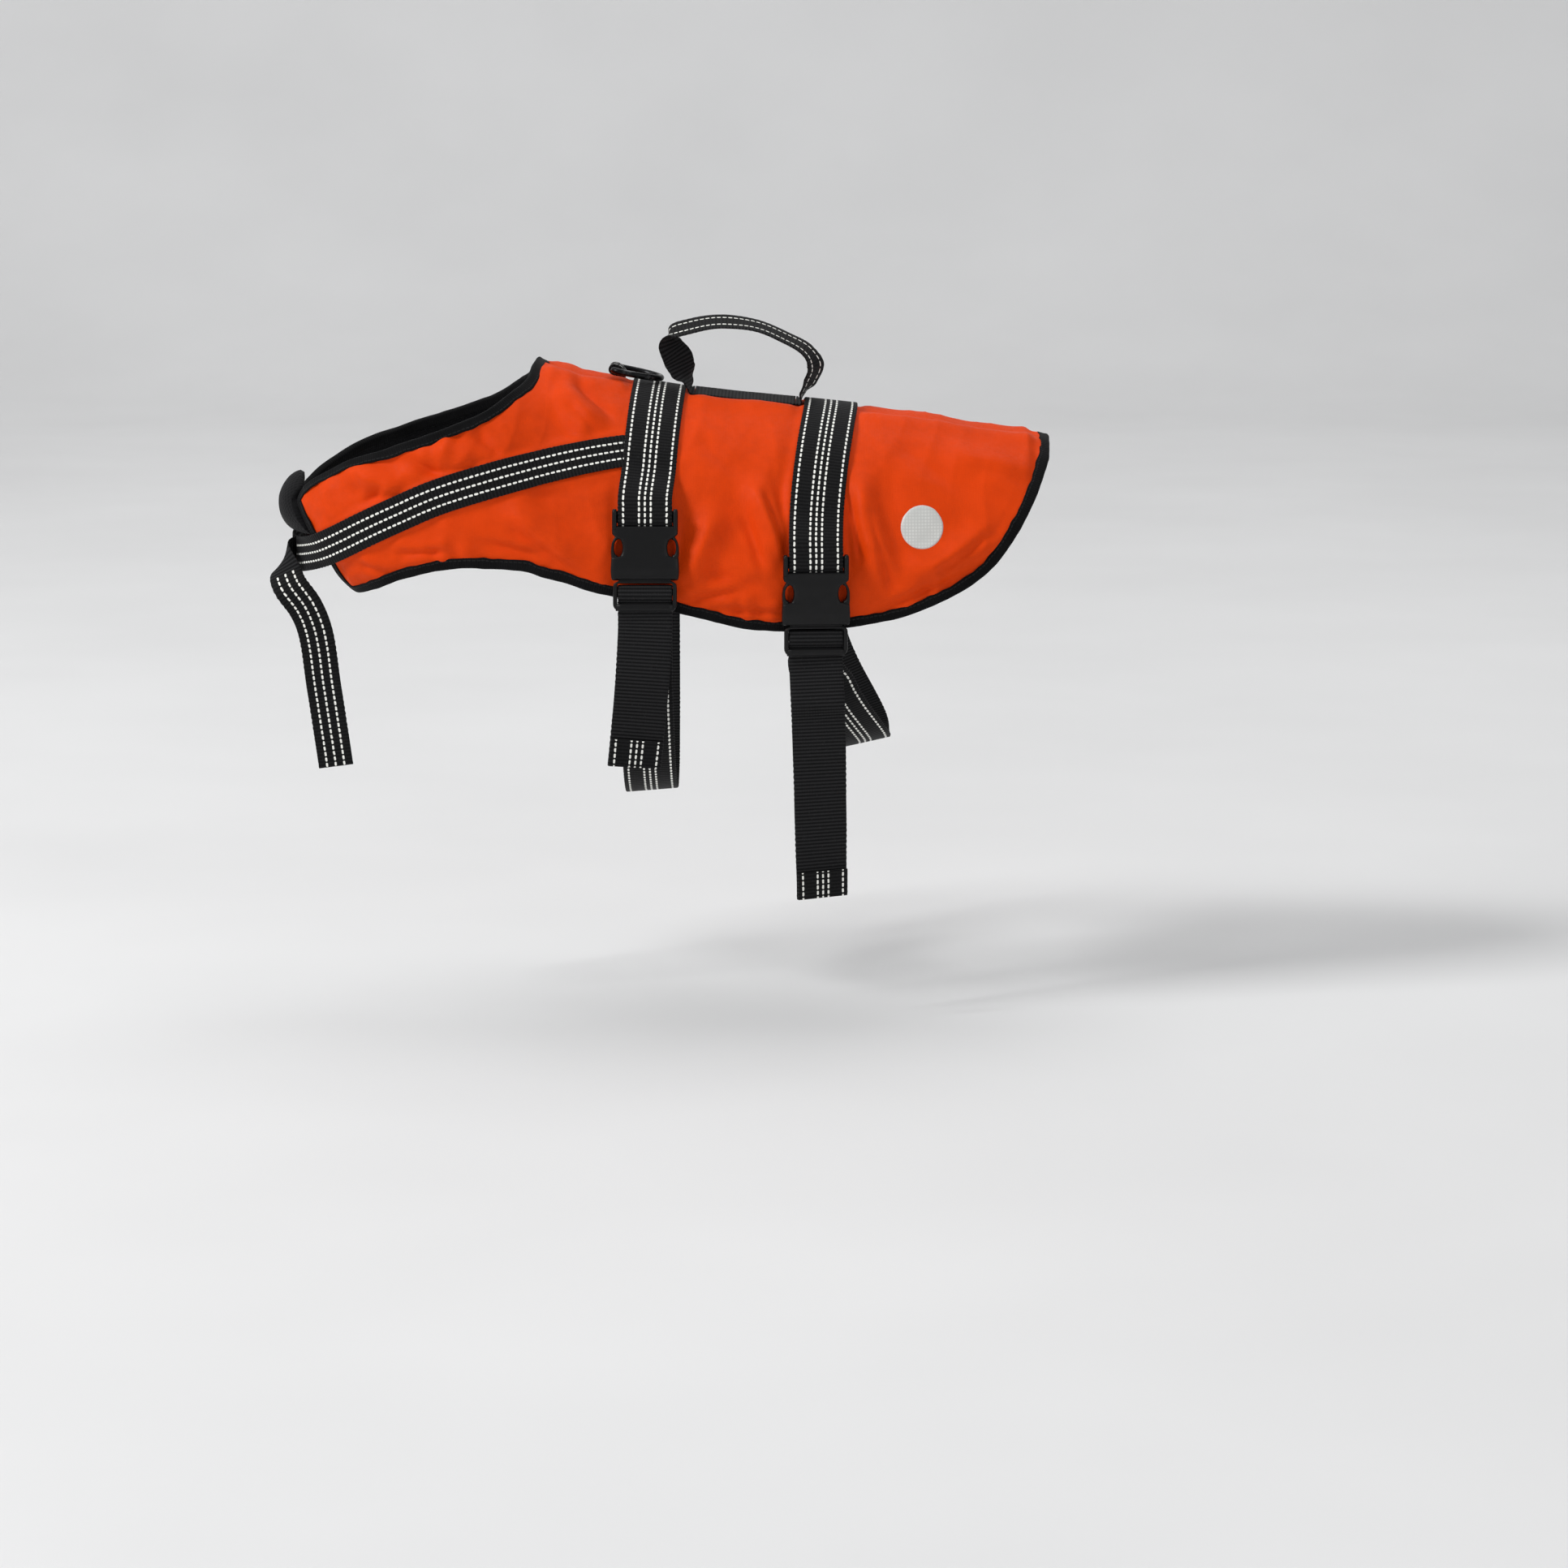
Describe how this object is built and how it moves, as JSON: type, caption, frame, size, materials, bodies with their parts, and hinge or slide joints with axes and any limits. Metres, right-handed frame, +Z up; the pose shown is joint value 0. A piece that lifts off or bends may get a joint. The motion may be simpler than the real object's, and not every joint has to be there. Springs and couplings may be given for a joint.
{
  "type": "dog life jacket",
  "caption": "Orange padded dog life jacket with black bound edges, girth and chest straps with side-release buckles, a grab handle and a leash ring.",
  "frame": {"origin": "inner face of the spine, midway between the two girth straps, where the wearer's back carries it", "axes": "-X is the front (the neck), -Y is the wearer's left side with the buckles, +Z is up"},
  "size_m": [0.5609, 0.2333, 0.404],
  "materials": {
    "shell_fabric": "matt woven",
    "pad_fabric": "matt woven",
    "binding": "matt ribbed tape",
    "webbing": "matt woven with reflective stitching",
    "buckle_plastic": "moulded, fine grain",
    "ring_metal": "black coated"
  },
  "bodies": {
    "vest": {"panel_left": "shell_fabric", "panel_right": "shell_fabric", "neck_binding": "binding", "hem_binding": "binding", "girth_strap_front": "webbing", "belly_strap_front": "webbing", "tail_front": "webbing", "tail_hem_front": "webbing", "buckle_front_female": "buckle_plastic", "buckle_front_male": "buckle_plastic", "girth_strap_rear": "webbing", "belly_strap_rear": "webbing", "tail_rear": "webbing", "tail_hem_rear": "webbing", "buckle_rear_female": "buckle_plastic", "buckle_rear_male": "buckle_plastic", "handle_base": "webbing", "handle_arch": "webbing", "ring_loop": "webbing", "chest_pad": "pad_fabric", "chest_strap_left": "webbing", "chest_strap_right": "webbing", "chest_tail": "webbing", "buckle_chest_female": "buckle_plastic", "buckle_chest_male": "buckle_plastic"},
    "ring": {"leash_ring": "ring_metal"}
  },
  "joints": [
    {"name": "leash_ring_hinge", "type": "hinge", "parent": "vest", "child": "ring", "pos_m": [-0.092, 0, 0.02639], "axis": [0, -1, 0], "range_deg": [0, 150]}
  ]
}
